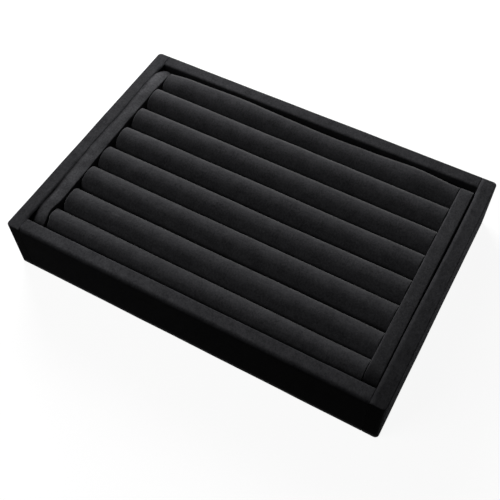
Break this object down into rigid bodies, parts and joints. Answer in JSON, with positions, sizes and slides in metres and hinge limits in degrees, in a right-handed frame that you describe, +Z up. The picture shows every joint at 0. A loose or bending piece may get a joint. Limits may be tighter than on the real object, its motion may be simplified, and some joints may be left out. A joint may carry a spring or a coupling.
{
  "type": "ring tray",
  "caption": "Low rectangular velvet-covered jewelry tray with a flat rim and a lift-out insert of padded rolls that grip rings between them.",
  "frame": {"origin": "middle of the underside, on the surface that the tray stands on", "axes": "+X along the tray's length and its rolls, to the right seen from the front; +Y from front to back; +Z up"},
  "size_m": [0.24, 0.165, 0.038],
  "materials": {
    "velvet": "matte",
    "roll_velvet": "matte",
    "felt": "matte",
    "foam": "matte",
    "mdf": "matte",
    "hardboard": "matte",
    "greyboard": "matte",
    "steel": "satin"
  },
  "bodies": {
    "tray": {"base_panel": "hardboard", "front_board": "mdf", "back_board": "mdf", "left_board": "mdf", "right_board": "mdf", "front_wrap": "velvet", "back_wrap": "velvet", "left_wrap": "velvet", "right_wrap": "velvet", "bottom_cover": "felt", "floor_liner": "velvet", "corner_brads": "steel"},
    "insert": {"insert_board": "greyboard", "roll_core_1": "foam", "roll_core_2": "foam", "roll_core_3": "foam", "roll_core_4": "foam", "roll_core_5": "foam", "roll_core_6": "foam", "roll_core_7": "foam", "roll_core_8": "foam", "roll_cover_1": "roll_velvet", "roll_cover_2": "roll_velvet", "roll_cover_3": "roll_velvet", "roll_cover_4": "roll_velvet", "roll_cover_5": "roll_velvet", "roll_cover_6": "roll_velvet", "roll_cover_7": "roll_velvet", "roll_cover_8": "roll_velvet", "left_strip_core": "foam", "right_strip_core": "foam", "left_strip_cover": "roll_velvet", "right_strip_cover": "roll_velvet"}
  },
  "joints": [
    {"name": "insert_lift", "type": "slide", "parent": "tray", "child": "insert", "axis": [0, 0, 1], "range_m": [0, 0.045]}
  ]
}
